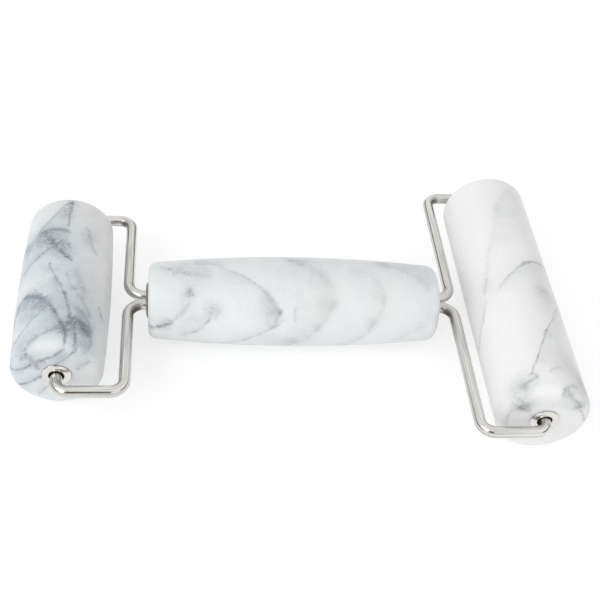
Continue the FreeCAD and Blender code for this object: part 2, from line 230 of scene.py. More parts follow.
# a bent wire's middle line: straight runs between corners, each corner rounded by an arc of its own radius
def bentLine(corners, bends, step, bendRings):
    points, bending = [], []
    here = corners[0]
    for before, corner, after, bend in zip(corners, corners[1:], corners[2:], bends):
        arrive = (corner - before) / np.linalg.norm(corner - before)
        leave = (after - corner) / np.linalg.norm(after - corner)
        start, middle = corner - arrive * bend, corner - arrive * bend + leave * bend
        way = np.sign(arrive[0] * leave[1] - arrive[1] * leave[0])   # 1 for a bend to the left, -1 to the right
        count = max(2, int(np.linalg.norm(start - here) / step))
        points.append(runPoints(here, start, count))
        bending.append(np.zeros(count))
        angle = runPoints(0, math.pi / 2, bendRings)[:, None]
        points.append(middle - leave * bend * np.cos(angle) + arrive * bend * np.sin(angle))
        bending.append(way * np.sin(runPoints(0, math.pi, bendRings)))
        here = corner + leave * bend
    count = max(2, int(np.linalg.norm(corners[-1] - here) / step))
    points.append(np.linspace(here, corners[-1], count + 1))
    bending.append(np.zeros(count + 1))
    return np.vstack(points), np.concatenate(bending)


# a round section carried along the middle line; it is thinner on the bend's plane where the wire was bent
def makeArm(end, side):
    node = "%s_%s_arm" % (end, side)
    low, high = (np.array(corner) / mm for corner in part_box(node))
    outward = 1.0 if end == "long" else -1.0
    sideways = 1.0 if side == "back" else -1.0
    radius, height = (high[2] - low[2]) / 2, (high[2] + low[2]) / 2
    near, far = np.minimum(np.abs(low), np.abs(high)), np.maximum(np.abs(low), np.abs(high))
    legX, axleX, legY, armY = near[0], far[0] - radius, near[1] + radius, far[1] - radius
    barX = grip["half"] + wireArm["legStand"] + wireArm["legBend"]
    tipY = {"long": longRoller, "short": shortRoller}[end]["half"] - wireArm["stubInsert"]
    route = np.array([(legX, legY), (barX, legY), (barX, armY), (axleX, armY), (axleX, tipY)])
    bends = [wireArm[key] for key in ("legBend", "cornerBend", "stubBend")]
    line, bending = bentLine(route * (outward, sideways), bends, wireArm["runStep"], wireArm["bendRings"])
    chamfer = wireArm["endChamfer"]
    head, tail = (line[tip] + (line[inner] - line[tip]) * chamfer / np.linalg.norm(line[inner] - line[tip])
                  for tip, inner in ((0, 1), (-1, -2)))
    line = np.vstack([line[:1], head, line[1:-1], tail, line[-1:]])
    bending = np.concatenate([[0, 0], bending[1:-1], [0, 0]])
    length = np.concatenate([[0], np.cumsum(np.linalg.norm(np.diff(line, axis=0), axis=1))])
    heading = np.gradient(line, length, axis=0)
    heading /= np.linalg.norm(heading, axis=1)[:, None]
    across = np.stack([heading[:, 1], -heading[:, 0]], -1)
    girth = np.full(len(line), radius)
    girth[[0, -1]] -= chamfer
    turn = runPoints(0, 2 * math.pi, wireArm["segments"])
    squeeze = wireArm["flatten"] * np.abs(bending)
    flat, tall = girth * (1 - squeeze), girth * (1 + wireArm["bulge"] * squeeze)
    rings = np.empty((len(line), len(turn), 3))
    rings[..., :2] = line[:, None] + (flat[:, None] * np.cos(turn))[..., None] * across[:, None]
    rings[..., 2] = height + tall[:, None] * np.sin(turn)
    place = np.stack(np.broadcast_arrays(length[:, None], radius * np.cos(turn), radius * np.sin(turn)), -1)
    hollowShade = np.maximum(0, -bending[:, None] * np.cos(turn))   # 1 on the inner side of a bend, where the wire's colour gets painted shade
    poles = [np.append(line[index], height) * mm for index in (0, -1)]
    piece = ringMesh(node + "_wire", rings * mm, poles, wireArm["crease"], {"wirePlace": place, "wireBend": hollowShade})
    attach(piece, "handle")
    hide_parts(node)
    return piece


arms = [makeArm(end, side) for end in ("long", "short") for side in ("front", "back")]
print("wire: %d arms, %d points each" % (len(arms), len(arms[0].data.vertices)))


eyelet = {
    "bore": 2.5, "barrel": 3.0, "depth": 10.0,   # radii inside and out, and length in the stone, mm
    "lip": 0.5,              # rounding of the mouth
    "rim": 0.3, "rimRound": 0.1,   # height of the flange's edge and its rounding
    "lift": 0.2, "curl": 4,  # how far that edge stands off the stone, and how late it curls up to it
    "domeShare": 0.98,       # share of the dome's arc before the edge's rounding
    "barrelRings": 6, "seatRings": 8, "edgeRings": 4, "domeRings": 20, "lipRings": 10, "wallRings": 8, "segments": 96,
    "crease": 40.0,          # degrees from which an edge is sharp
    "domeShade": 0.0,          # how far the dome takes the edge's dark colour, a painted dark reflection
}
ferrule = dict(eyelet, bore=4.35, barrel=4.8, lip=0.45, segments=112, domeShade=0.5)


# a sleeve's outline as (height over its seat, radius): barrel, domed flange, rolled lip, bore; it closes on itself
def sleeveProfile(sleeve, flange, crest):
    bore, barrelRadius, depth, lip, rim = (sleeve[key] for key in ("bore", "barrel", "depth", "lip", "rim"))
    reach, rise = flange - bore - lip, crest - rim
    swing = (reach ** 2 + rise ** 2) / (2 * rise)
    turn, top, small = math.asin(reach / swing), math.pi / 2, sleeve["rimRound"]
    barrel = runPoints((-depth, barrelRadius), (0, barrelRadius), sleeve["barrelRings"])
    spread = runPoints(0, 1, sleeve["seatRings"])     # flat near the barrel, then curling up to the edge
    seat = np.stack([sleeve["lift"] * spread ** sleeve["curl"], barrelRadius + (flange - barrelRadius) * spread], -1)
    edge = arcPoints((rim - small, flange - small), small, 0, turn / 2, sleeve["edgeRings"])
    dome = arcPoints((crest - swing, bore + lip), swing, top - turn * sleeve["domeShare"], top, sleeve["domeRings"])
    roll = arcPoints((crest - lip, bore + lip), lip, top, math.pi, sleeve["lipRings"])[1:]
    wall = np.linspace((crest - lip, bore), (-depth, bore), sleeve["wallRings"])[1:]
    edgeAndBore = np.repeat((-1.0, -sleeve["domeShade"], 1.0),   # -1 on the edge and under it, where the colour is painted shade; 1 in the bore
                     (len(barrel) + len(seat) + len(edge), len(dome) + len(roll), len(wall)))
    return np.vstack([barrel, seat, edge, dome, roll, wall]), edgeAndBore


# a sleeve is turned like a stone, but its outline is a loop, so the last ring joins the first
def makeSleeve(node, sleeve, axle, body):
    low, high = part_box(node)
    which = "xyz".index(axle)
    outward = 1.0 if (low + high)[which] > 0 else -1.0
    spread = (high - low) / mm
    flange = spread.z / 2
    crest = spread[which] - sleeve["depth"]
    middle = np.array((low + high) / 2)
    middle[which] = (high[which] if outward > 0 else low[which]) - outward * crest * mm   # on its seat
    profile, edgeAndBore = sleeveProfile(sleeve, flange, crest)
    rings = turnedRings(profile * (outward, 1), axle, sleeve["segments"])
    if outward < 0:
        rings = rings[:, ::-1]
    rows, columns = rings.shape[:2]
    length = np.concatenate([[0], np.cumsum(np.linalg.norm(np.diff(profile, axis=0), axis=1))])
    turn = runPoints(0, 2 * math.pi, columns)
    place = np.stack(np.broadcast_arrays(length[:, None], np.cos(turn), np.sin(turn)), -1)
    piece = newPiece(node + "_sleeve", rings.reshape(-1, 3) * mm + middle, ringQuads(rows, columns, loop=True),
                     sleeve["crease"], {"sleevePlace": place.reshape(-1, 3), "sleeveEdgeAndBore": np.repeat(edgeAndBore, columns)})
    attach(piece, body)
    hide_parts(node)
    return piece


sleeves = [makeSleeve("%s_%s_eyelet" % (end, side), eyelet, "y", end + "_roller_set")
           for end in ("long", "short") for side in ("front", "back")]
sleeves += [makeSleeve(end + "_end_ferrule", ferrule, "x", "handle") for end in ("long", "short")]
print("sleeves:", len(sleeves))


# a node's inputs, set as numbers or linked from other sockets
def setInputs(tree, node, inputs):
    for key, value in inputs.items():
        if isinstance(value, bpy.types.NodeSocket):
            tree.links.new(value, node.inputs[key])
        else:
            node.inputs[key].default_value = value


def addNode(tree, kind, inputs=None, **settings):
    made = tree.nodes.new(kind)
    for key, value in settings.items():
        setattr(made, key, value)
    setInputs(tree, made, inputs or {})
    return made


def addGroup(tree, group, inputs):
    return addNode(tree, "ShaderNodeGroup", inputs, node_tree=group).outputs


def calc(tree, operation, *values):
    return addNode(tree, "ShaderNodeMath", dict(enumerate(values)), operation=operation).outputs[0]


def product(tree, first, *others):
    for other in others:
        first = calc(tree, "MULTIPLY", first, other)
    return first


def calcVector(tree, operation, *values):
    made = addNode(tree, "ShaderNodeVectorMath", dict(enumerate(values)), operation=operation)
    return made.outputs["Value" if operation in ("DOT_PRODUCT", "LENGTH") else "Vector"]


def scaled(tree, vector, amount):
    return addNode(tree, "ShaderNodeVectorMath", {0: vector, "Scale": amount}, operation="SCALE").outputs["Vector"]


def noise(tree, point, scale, detail, roughness, output=0):
    return addNode(tree, "ShaderNodeTexNoise", {
        "Vector": point, "Scale": scale, "Detail": detail, "Roughness": roughness}).outputs[output]


def remap(tree, value, low, high, toLow=0.0, toHigh=1.0, style="SMOOTHSTEP"):
    return addNode(tree, "ShaderNodeMapRange", {0: value, 1: low, 2: high, 3: toLow, 4: toHigh},
                   interpolation_type=style).outputs[0]


# two colours mixed by a share; a colour is a socket or three numbers
def mixColours(tree, share, first, second, blend="MIX"):
    first, second = ((*colour, 1.0) if isinstance(colour, tuple) else colour for colour in (first, second))
    return addNode(tree, "ShaderNodeMix", {0: share, 6: first, 7: second},
                   data_type="RGBA", blend_type=blend).outputs[2]


def bumped(tree, height, strength, distance):
    return addNode(tree, "ShaderNodeBump", {"Height": height, "Strength": strength, "Distance": distance}).outputs[0]


def newMaterial(name):
    material = bpy.data.materials.new(name)
    material.use_nodes = True
    return material, material.node_tree, material.node_tree.nodes["Principled BSDF"]


# a group, its given values and its end; each kind of socket is followed by the names that have it
def newGroup(name, inputs, outputs):
    tree = bpy.data.node_groups.new(name, "ShaderNodeTree")
    for way, sockets in (("INPUT", inputs), ("OUTPUT", outputs)):
        for kind, labels in sockets:
            for label in labels.split(", "):
                tree.interface.new_socket(label, in_out=way, socket_type="NodeSocket" + kind)
    return tree, tree.nodes.new("NodeGroupInput").outputs, tree.nodes.new("NodeGroupOutput")


veinShape = {
    "fade": (1.05, 0.7),     # shares of its reach from and to which a vein comes up to its full darkness
    "back": 0.7,             # how fast the haze ends behind the line, per line width
}


# one vein: a bowed sheet through the stone, dark where it cuts the surface, with haze on one side of it
# its line is a bell curve over the distance from the sheet, its haze dies away from it exponentially
def veinSheetGroup():
    tree, given, out = newGroup("veinSheet", [
        ("Vector", "Point, Middle, Facing"), ("Float", "Curl, Reach, Width, Dark, Haze, Smoke, Break, Mist")],
        [("Float", "Vein")])
    offset = calcVector(tree, "SUBTRACT", given["Point"], given["Middle"])
    far = calcVector(tree, "LENGTH", offset)
    away = calc(tree, "MULTIPLY_ADD", product(tree, far, far), given["Curl"],
                calcVector(tree, "DOT_PRODUCT", offset, given["Facing"]))
    fade = remap(tree, calc(tree, "DIVIDE", far, given["Reach"]), *veinShape["fade"])
    share = calc(tree, "DIVIDE", away, given["Width"])
    line = calc(tree, "EXPONENT", product(tree, share, share, -1.0))
    ahead = calc(tree, "DIVIDE", calc(tree, "MAXIMUM", away, 0.0), given["Haze"])
    behind = product(tree, calc(tree, "MINIMUM", share, 0.0), -veinShape["back"])
    cloud = calc(tree, "EXPONENT", product(tree, calc(tree, "ADD", ahead, behind), -1.0))
    dark = product(tree, line, given["Dark"], given["Break"])
    smoke = product(tree, cloud, given["Smoke"], given["Mist"])
    setInputs(tree, out, {"Vein": product(tree, calc(tree, "ADD", dark, smoke), fade)})
    return tree


# a patch: dense in its middle, thinning out as a bell curve, torn by the noise it is given
def cloudPatchGroup():
    tree, given, out = newGroup("cloudPatch", [("Vector", "Point, Middle, Spread"), ("Float", "Smoke, Mist")],
                                [("Float", "Patch")])
    offset = calcVector(tree, "DIVIDE", calcVector(tree, "SUBTRACT", given["Point"], given["Middle"]), given["Spread"])
    bell = calc(tree, "EXPONENT", product(tree, calcVector(tree, "DOT_PRODUCT", offset, offset), -1.0))
    setInputs(tree, out, {"Patch": product(tree, bell, given["Smoke"], given["Mist"])})
    return tree


stoneGrainLook = {
    "crystals": 1.6,         # crystals per mm
    "fine": (2.2, 4.0, 0.6), "clear": (1.1, 3.0, 0.7),      # noises: scale per mm, detail and roughness
    "pits": (0.9, 3.0, 0.6), "polish": (0.12, 3.0, 0.55),
    "clearSpan": (0.60, 0.72), "pitSpan": (0.62, 0.72),     # values of the noise from which to which they show
    "crystalShare": 0.4, "fineShare": 0.6,                  # what each gives to the speckle
    "pitDepth": 0.6,         # against the fine grain's height
}


# crystal grain of honed marble: speckle, clear crystals, a height for bump and a slow change of polish
def stoneGrainGroup(look):
    tree, given, out = newGroup("stoneGrain", [("Vector", "Point")], [("Float", "Speckle, Crystal, Height, Polish")])
    point = given["Point"]
    crystals = addNode(tree, "ShaderNodeTexVoronoi", {"Vector": point, "Scale": look["crystals"]})
    shade = addNode(tree, "ShaderNodeSeparateColor", {0: crystals.outputs["Color"]}).outputs[0]
    fine = noise(tree, point, *look["fine"])
    pits = remap(tree, noise(tree, point, *look["pits"]), *look["pitSpan"])
    fineSpeckle = product(tree, fine, look["fineShare"])
    setInputs(tree, out, {
        "Speckle": calc(tree, "MULTIPLY_ADD", shade, look["crystalShare"], fineSpeckle),
        "Crystal": remap(tree, noise(tree, point, *look["clear"]), *look["clearSpan"]),
        "Height": calc(tree, "MULTIPLY_ADD", pits, -look["pitDepth"], fine),
        "Polish": noise(tree, point, *look["polish"])})
    return tree


marbleNoise = {              # scale per mm, detail and roughness of each noise in the marble
    "broad": (0.09, 2.0, 0.5), "fine": (0.4, 5.0, 0.65),    # slow and quick bending of the veins
    "gaps": (0.3, 3.0, 0.55), "dots": (1.1, 3.0, 0.6),      # where the lines break off
    "mist": (0.25, 4.0, 0.6), "torn": (0.9, 5.0, 0.7), "cloud": (0.08, 4.0, 0.55), "speck": (1.3, 4.0, 0.7),
}
marbleSpan = {               # values of each noise from which to which it takes effect
    "gaps": (0.35, 0.6), "dots": (0.36, 0.62), "mist": (0.25, 0.7), "torn": (0.38, 0.64), "cloud": (0.4, 0.75),
    "speck": (0.3, 0.7),
}
marbleEffect = {             # what a mark's darkness is multiplied by, from low to high noise
    "gaps": (0.35, 1.0), "dots": (0.3, 1.3), "speck": (0.7, 1.3), "crystal": (1.0, 0.3),
}
noiseMiddle = (0.5, 0.5, 0.5)
hazyShare = 0.33             # share of darkness at which the stone has its hazy colour


# one of the marble's noises, brought to the values that it multiplies a mark by
def marbleValue(tree, point, key, low, high, style="SMOOTHSTEP"):
    return remap(tree, noise(tree, point, *marbleNoise[key]), *marbleSpan[key], low, high, style)


# the place bent by two noises, and how far lines, hazes and patches are broken there
def marbleFlowGroup():
    tree, given, out = newGroup("marbleFlow", [
        ("Vector", "Point"),
        ("Float", "Broad Bend, Fine Bend, Mist Low, Mist High, Torn Low, Torn High, Cloud High")],
        [("Vector", "Bent"), ("Float", "Break, Mist, Torn, Cloud")])
    point = bent = given["Point"]
    for key, amount in (("broad", "Broad Bend"), ("fine", "Fine Bend")):
        stray = calcVector(tree, "SUBTRACT", noise(tree, point, *marbleNoise[key], "Color"), noiseMiddle)
        bent = calcVector(tree, "ADD", bent, scaled(tree, stray, given[amount]))
    gaps, dots = (marbleValue(tree, point, key, *marbleEffect[key]) for key in ("gaps", "dots"))
    setInputs(tree, out, {
        "Bent": bent, "Break": product(tree, gaps, dots),
        "Mist": marbleValue(tree, bent, "mist", given["Mist Low"], given["Mist High"]),
        "Torn": marbleValue(tree, bent, "torn", given["Torn Low"], given["Torn High"]),
        "Cloud": marbleValue(tree, bent, "cloud", 0.0, given["Cloud High"])})
    return tree


# the marks' sum, speckled and thinning out towards full dark, picks a colour from bare over hazy to core
def marbleToneGroup():
    tree, given, out = newGroup("marbleTone", [
        ("Vector", "Point"), ("Float", "Marks, Crystal"), ("Color", "Bare, Hazy, Core")], [("Color", "Colour")])
    speck = marbleValue(tree, given["Point"], "speck", *marbleEffect["speck"], "LINEAR")
    clear = remap(tree, given["Crystal"], 0.0, 1.0, *marbleEffect["crystal"])   # clear crystals in the veins
    depth = product(tree, given["Marks"], product(tree, speck, clear), -1.0)
    share = calc(tree, "SUBTRACT", 1.0, calc(tree, "EXPONENT", depth))
    colour = given["Bare"]
    for start, end, key in ((0.0, hazyShare, "Hazy"), (hazyShare, 1.0, "Core")):
        colour = mixColours(tree, remap(tree, share, start, end, style="LINEAR"), colour, given[key])
    setInputs(tree, out, {"Colour": colour})
    return tree


veinSheet, cloudPatch, stoneGrain = veinSheetGroup(), cloudPatchGroup(), stoneGrainGroup(stoneGrainLook)
marbleFlow, marbleTone = marbleFlowGroup(), marbleToneGroup()


# a spot on a stone as its place in mm and the way out of the stone there
def stoneSpot(stone, spot):
    axis, up, side = axleWays[stone["axle"]]
    turn = math.radians(spot[1])
    across = math.cos(turn) * up + math.sin(turn) * side
    if len(spot) > 2:                     # on an end face, with its distance from the axle
        return axis * spot[0] + across * spot[2], axis * math.copysign(1, spot[0])
    return axis * spot[0] + across * float(sideRadius(stone, spot[0])), across


sheetMargin = 0.5            # mm that a vein's sheet goes on past its outer spots


# a sheet that stands square to the surface at its middle spot and bows to meet the other two
def sheetInputs(stone, spots):
    (start, _), (middle, out), (end, _) = (stoneSpot(stone, spot) for spot in spots)
    facing = np.cross(end - start, out)
    facing /= np.linalg.norm(facing)
    bow = float(np.dot(middle - start, facing))
    reach = [float(np.linalg.norm(middle - start)), float(np.linalg.norm(end - middle))]
    curl = bow / (sum(span ** 2 for span in reach) / 2)
    return {"Middle": tuple(middle), "Facing": tuple(facing), "Curl": curl, "Reach": max(reach) + sheetMargin}


# veins: three spots as (mm along, degrees round, and on an end face mm from the axle), line width in mm, darkness,
# haze width in mm on the right hand of the way along the spots, haze strength
# patches: spot, size in mm, darkness; hazes: spot, size along x, y and z in mm, strength
# stains: spot, size, and the colour that they multiply the stone's by
# Cycles can hold about 110 marks in one material, the far side's among them
shortMarble = {
    "name": "shortRollerMarble",
    "bare": (0.86, 0.885, 0.895), "hazy": (0.62, 0.67, 0.70), "core": (0.17, 0.20, 0.23),
    "broadBend": 2.0, "fineBend": 1.8, "mist": 0.10, "mistSpan": (0.6, 1.25), "tornSpan": (0.05, 1.3),
    "farVeins": (0, 1, 2, 3, 4, 5, 6, 7, 9, 10, 11, 13, 14, 15, 18, 19, 22, 24), "farPatches": 8,
    "veins": [
        ([(14, -70), (19, -38), (31, 0)], 0.4, 0.42, 4.5, 0.28),      # left line up to the apex
        ([(33, 6), (26, 4), (19, 3)], 0.4, 0.75, 2.0, 0.22),
        ([(18, -38), (18, -15), (16, 4)], 0.75, 0.85, 3.0, 0.36),      # first arch
        ([(18, -28), (10, -12), (2, 10)], 1.0, 0.75, 3.5, 0.25),
        ([(7, -7), (4, 1), (2, 10)], 0.45, 1.1, 1.0, 0.1),
        ([(10, -11), (6, -30), (1, -65)], 0.45, 0.75, 1.5, 0.2),
        ([(1, -16), (-4, -11), (-8, -5)], 0.3, 0.8, 1.5, 0.15),      # middle vein
        ([(-6, -7), (-10, 1), (-15, 8)], 0.4, 0.55, 3.0, 0.25),
        ([(-14, 7), (-19, 13), (-26, 18)], 0.5, 1.1, 2.5, 0.22),
        ([(-17, -66), (-13, -56), (-12, -45)], 0.6, 0.6, 3.0, 0.35),   # second arch
        ([(-12, -48), (-14, -28), (-18, -10)], 0.9, 1.15, 5.0, 0.5),
        ([(-18, -11), (-24, 1), (-30, 12)], 0.6, 1.3, 2.5, 0.45),
        ([(-27, 8), (-31, 13), (-36, 13)], 0.5, 1.1, 1.0, 0.2),
        ([(-19, -14), (-25, -33), (-30, -64)], 0.4, 0.75, 1.5, 0.15),
        ([(-24.5, 25), (-26, 34), (-29.5, 44)], 1.1, 1.5, 4.0, 0.5),    # right of the knot
        ([(-23, 30), (-26, 45), (-36, 49)], 0.8, 0.32, 5.0, 0.42),
        ([(-25, 19), (-28, 13), (-31, 6)], 0.8, 0.9, 1.5, 0.2),
        ([(-27, 22), (-31, 25), (-36, 28)], 0.6, 1.2, 2.5, 0.36),
        ([(-30, 0), (-32, -20), (-36, -45, 15)], 0.8, 0.6, 3.0, 0.38),   # round the white pocket
        ([(-36, -49, 9), (-36, -9, 9), (-36, 14, 13)], 0.6, 0.85, 3.5, 0.42),
        ([(-36, -56, 13), (-36, -48, 13), (-36, -40, 13)], 0.7, 0.55, 1.5, 0.25),
        ([(-36, -46, 12), (-36, -50, 9), (-36, -61, 6)], 0.8, 0.6, 1.5, 0.3),
        ([(-36, 31, 14), (-36, 23, 8), (-36, -7, 4)], 0.4, 0.95, 1.5, 0.25),
        ([(-36, -83, 15), (-36, -78, 12), (-36, -56, 9)], 0.4, 1.0, 1.2, 0.2),
        ([(-36, -98, 5), (-36, -112, 9), (-36, -113, 14)], 0.4, 0.9, 1.5, 0.3),
        ([(-36, -154, 6), (-36, -150, 9), (-36, -147, 12)], 0.4, 0.75, 1.5, 0.2),
        ([(-36, 59, 12), (-36, 63, 10), (-36, 71, 7)], 0.6, 0.4, 1.5, 0.2),
        ([(17, 31), (13, 37), (9, 43)], 0.5, 0.42, 2.0, 0.12),        # strays on the plain side
        ([(20, 27), (17, 33), (13, 36)], 0.6, 0.22, 2.0, 0.1),
        ([(-15, 58), (-16, 60), (-18, 64)], 0.5, 0.65, 1.0, 0.1),
        ([(-5, 6), (-7, 10), (-10, 12)], 0.4, 0.4, 1.0, 0.1),
        ([(-4, 19), (-8, 25), (-15, 34)], 1.2, 0.25, 3.0, 0.2),
        ([(-14, 26), (-17, 33), (-21, 43)], 0.7, 0.3, 2.0, 0.2),
        ([(14, -70), (8, -104), (-5, -142)], 0.6, 0.7, 4.0, 0.3),   # running on round the stone
        ([(1, -65), (-7, -98), (-12, -134)], 0.7, 0.6, 3.0, 0.2),
        ([(-17, -66), (-23, -96), (-20, -132)], 0.6, 0.8, 4.0, 0.35),
        ([(-26, 88), (-22, 108), (-14, 134)], 0.7, 0.5, 2.0, 0.12),
    ],
    "patches": [((32, 4), 1.5, 1.5), ((29, 0), 2.4, 0.55), ((25, 2), 1.8, 0.35), ((15, -23), 4.4, 0.65),
                ((10, -13), 3.2, 0.7), ((9, -3), 2.4, 0.5), ((9, 1), 2.0, 0.6), ((-13, -30), 3.5, 0.45),
                ((-17, -18), 3.0, 0.45), ((-26, 19), 2.4, 1.0), ((-29, 10), 2.4, 1.0), ((-27, 36), 2.8, 0.85),
                ((-11, 19), 1.2, 0.7), ((-3, -8), 2.0, 0.25)],
    "hazes": [((5, -20), (16, 26, 16), 0.1), ((-20, 16), (12, 9, 12), 0.12), ((16, 31), (2.5, 3.5, 3), 0.2),
              ((-12, 22), (7, 9, 8), 0.17), ((-34, 40), (4, 5, 6), 0.22), ((-33, -66), (8, 6, 8), 0.42),
              ((-20, -28), (8, 5, 8), 0.38), ((12, -12), (8, 6, 8), 0.2), ((-36, 0, 4), (7, 4, 6), 0.14),
              ((2, 2), (8, 9, 7), 0.18), ((27, 4), (5, 9, 5), 0.12), ((-22, 52), (5, 6, 6), 0.16),
              ((-36, -120, 10), (8, 5, 6), 0.14), ((15, -57), (5, 5, 7), 0.46), ((3, -62), (9, 5, 9), 0.24),
              ((-2, -78), (5, 30, 9), 0.12), ((-15, -70), (5, 4, 6), 0.36), ((-29, 5), (6, 4, 5), 0.14)],
    "stains": [((4, 68), (12, 44, 18), (0.98, 0.952, 0.94)), ((-25, 8), (14, 8, 12), (0.955, 0.985, 1.0)),
               ((32, 0), (30, 12, 22), (1.0, 0.985, 0.968)), ((6, -18), (14, 14, 12), (0.97, 0.99, 1.0))],
}
longMarble = {
    "name": "longRollerMarble",
    "bare": (0.93, 0.935, 0.93), "hazy": (0.73, 0.745, 0.745), "core": (0.22, 0.235, 0.245),
    "broadBend": 1.6, "fineBend": 1.5, "mist": 0.0, "mistSpan": (0.85, 1.1), "tornSpan": (0.4, 1.2),
    "farVeins": range(19), "farPatches": 6,
    "veins": [
        ([(-5, -52), (6, -40), (17, -27)], 0.9, 0.12, 3.0, 0.1),     # line up the back, widening to a grey zone
        ([(14, -28), (26, -14), (37, -2)], 1.0, 0.05, 10.0, 0.12),
        ([(29, -12), (40, 4), (49, 29)], 0.9, 0.08, 10.0, 0.13),
        ([(-5, -54), (-2, -49), (1, -43)], 0.6, 0.3, 1.5, 0.08),
        ([(-7, -34), (1, -7), (7, 23)], 0.45, 0.5, 3.5, 0.18),       # thin arch
        ([(4, 3), (7, 23), (8, 46)], 0.5, 0.6, 4.0, 0.2),
        ([(-8, -54), (-17, -71), (-24, -99)], 0.35, 0.5, 5.0, 0.12),
        ([(-26, 15), (-22, 25), (-13, 47)], 0.3, 0.6, 4.0, 0.14),    # thin diagonal
        ([(-40, -10), (-35, -2), (-27, 14)], 0.3, 0.75, 5.0, 0.15),
        ([(-47, -24), (-43, -17), (-40, -10)], 0.35, 0.5, 3.0, 0.12),
        ([(-47, -25), (-47, -20), (-49, -17)], 0.35, 0.35, 1.0, 0.1),
        ([(-50, -39), (-49, -27), (-48, -18)], 0.5, 0.4, 2.5, 0.22),
        ([(-54, -62, 12), (-54, -79, 13), (-54, -104, 13)], 0.5, 0.28, 8.0, 0.22),
        ([(-54, -56, 13), (-54, -57, 10), (-54, -52, 8)], 0.6, 0.5, 1.5, 0.2),
        ([(-54, -58, 6), (-54, -72, 5), (-54, -99, 4)], 0.4, 0.4, 1.0, 0.1),
        ([(-54, 12, 15), (-52, 18), (-51, 31)], 0.7, 0.5, 2.0, 0.26),
        ([(-54, 15, 15), (-54, 35, 13), (-54, 60, 13)], 0.8, 0.55, 3.0, 0.3),
        ([(-54, 63, 12), (-54, 79, 13), (-54, 91, 14)], 0.4, 0.5, 1.0, 0.1),
        ([(-47, -2), (-45, 6), (-44, 16)], 0.5, 0.3, 2.0, 0.1),
        ([(8, 46), (3, 84), (-9, 124)], 0.4, 0.55, 4.0, 0.18),        # running on round the stone
        ([(-13, 47), (-3, 82), (3, 118)], 0.35, 0.6, 4.0, 0.15),
        ([(-49, 56), (-45, 78), (-36, 108)], 0.5, 0.45, 2.0, 0.12),
        ([(43, 78), (37, 104), (33, 136)], 0.8, 0.2, 6.0, 0.14),
        ([(-24, -99), (-33, -126), (-45, -160)], 0.4, 0.5, 3.0, 0.1),
    ],
    "patches": [((-8, 24), 3.0, 0.42), ((-54, -48, 11), 2.4, 0.75), ((-54, -54, 11), 1.4, 0.6),
                ((-54, -53, 15), 2.4, 0.5), ((-54, 57, 12), 1.6, 0.8), ((-48, 43), 3.0, 0.45)],
    "hazes": [((1, 12), (9, 5, 6), 0.1), ((-11, 30), (7, 8, 7), 0.18), ((8, 50), (5, 14, 7), 0.1),
              ((-34, 20), (8, 11, 8), 0.1), ((-43, 30), (6, 5, 6), 0.2), ((-54, -84, 10), (5, 3, 5), 0.1),
              ((-54, -6, 8), (8, 3, 3), 0.14), ((-52, 46), (6, 6, 6), 0.28), ((-52, -36), (1.6, 3.5, 1.8), 0.32),
              ((-50, -38), (5, 5, 5), 0.22), ((-54, -50, 12), (4, 4, 4), 0.18), ((-4, -47), (6, 7, 6), 0.12),
              ((-54, 100, 9), (11, 3, 11), 0.18), ((-49, -43), (5, 4, 5), 0.16)],
    "stains": [((40, -10), (26, 26, 26), (0.965, 0.962, 0.965)),
               ((-14, 28), (8, 14, 9), (0.97, 0.955, 0.985)), ((-42, 22), (7, 7, 7), (0.975, 0.96, 0.985))],
}
